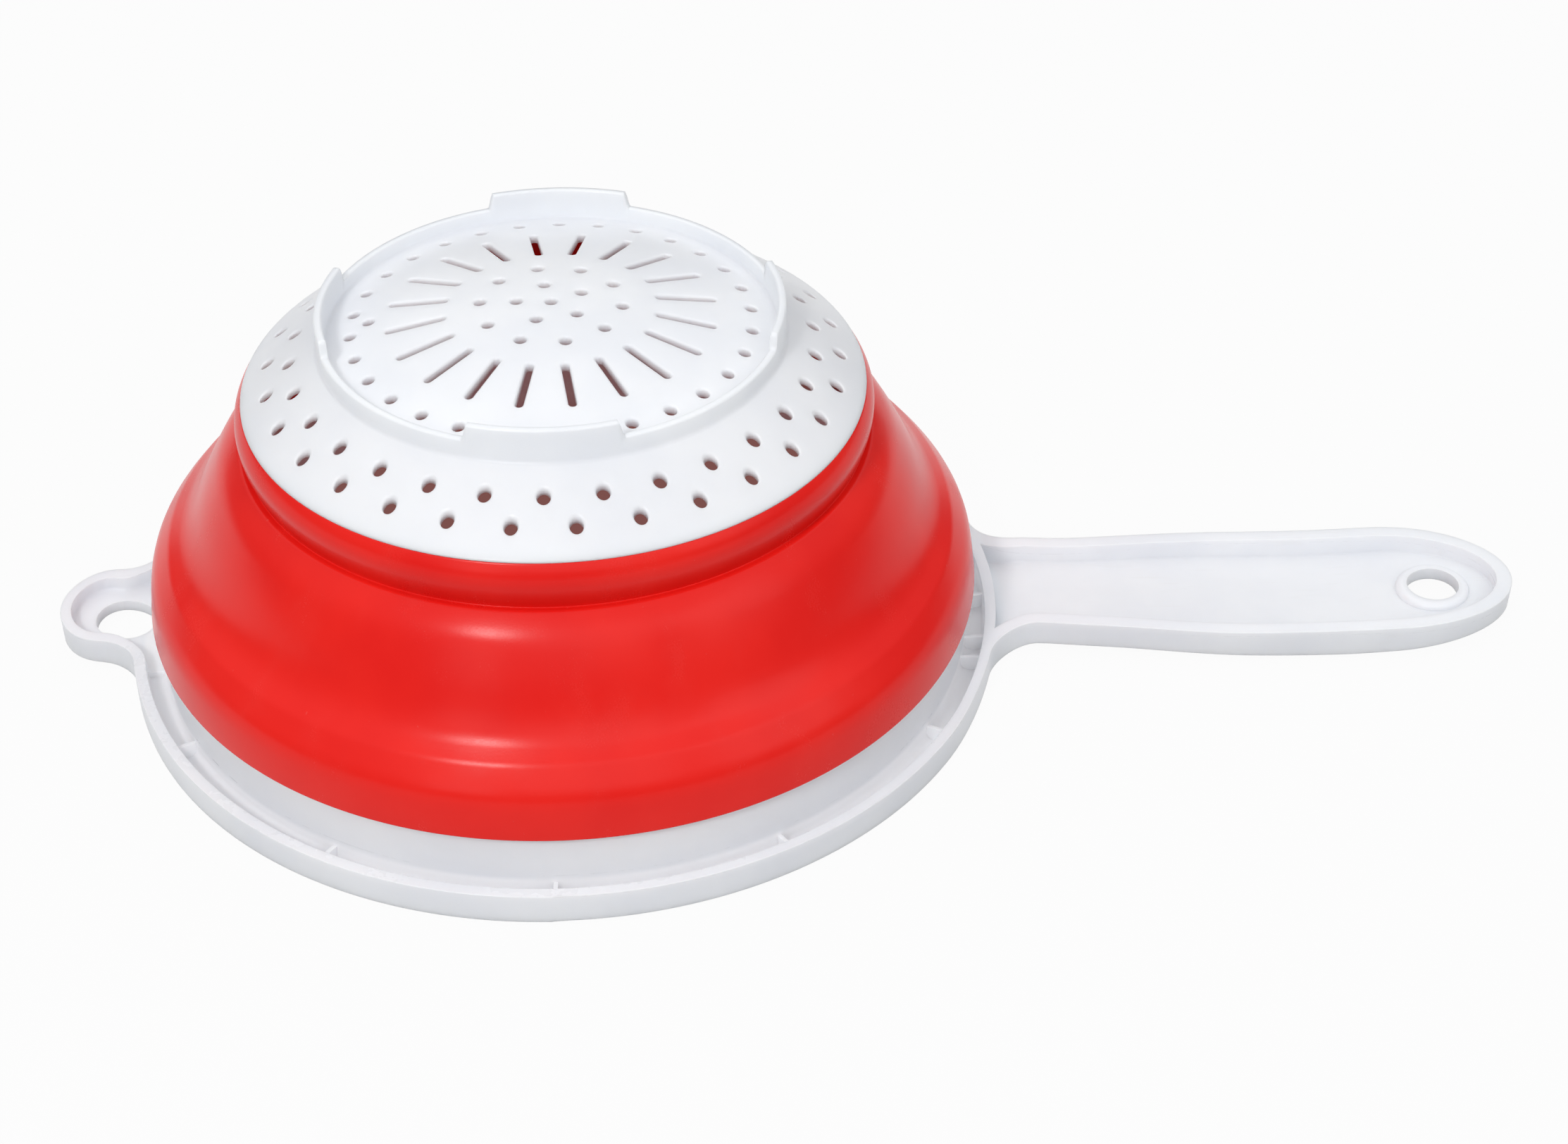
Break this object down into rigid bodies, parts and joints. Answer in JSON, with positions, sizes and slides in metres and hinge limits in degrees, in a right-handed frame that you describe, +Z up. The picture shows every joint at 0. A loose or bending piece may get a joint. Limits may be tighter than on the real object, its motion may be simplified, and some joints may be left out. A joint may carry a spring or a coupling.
{
  "type": "collapsible colander",
  "caption": "Collapsible colander stored upside down: white rim with long handle and helper loop, soft red folding wall, white domed base with slots and holes and a foot ring.",
  "frame": {"origin": "middle of the whole part's length and width, at the plane that the rim stands on", "axes": "+X along the handle, from the bowl to the handle's tip; +Z up, from the rim to the foot ring, along the bowl's axis"},
  "size_m": [0.397, 0.23, 0.103],
  "materials": {
    "white_plastic": "satin white moulded plastic",
    "red_elastomer": "smooth red soft elastomer with a soft sheen"
  },
  "bodies": {
    "rim_body": {"rim_frame": "white_plastic", "wall_outer_band": "red_elastomer", "wall_fold_band": "red_elastomer"},
    "base_body": {"strainer_base": "white_plastic", "wall_inner_band": "red_elastomer"}
  },
  "joints": [
    {"name": "collapse", "type": "slide", "parent": "rim_body", "child": "base_body", "axis": [0, 0, -1], "range_m": [0, 0.0562], "deforming": ["wall_fold_band"]}
  ]
}
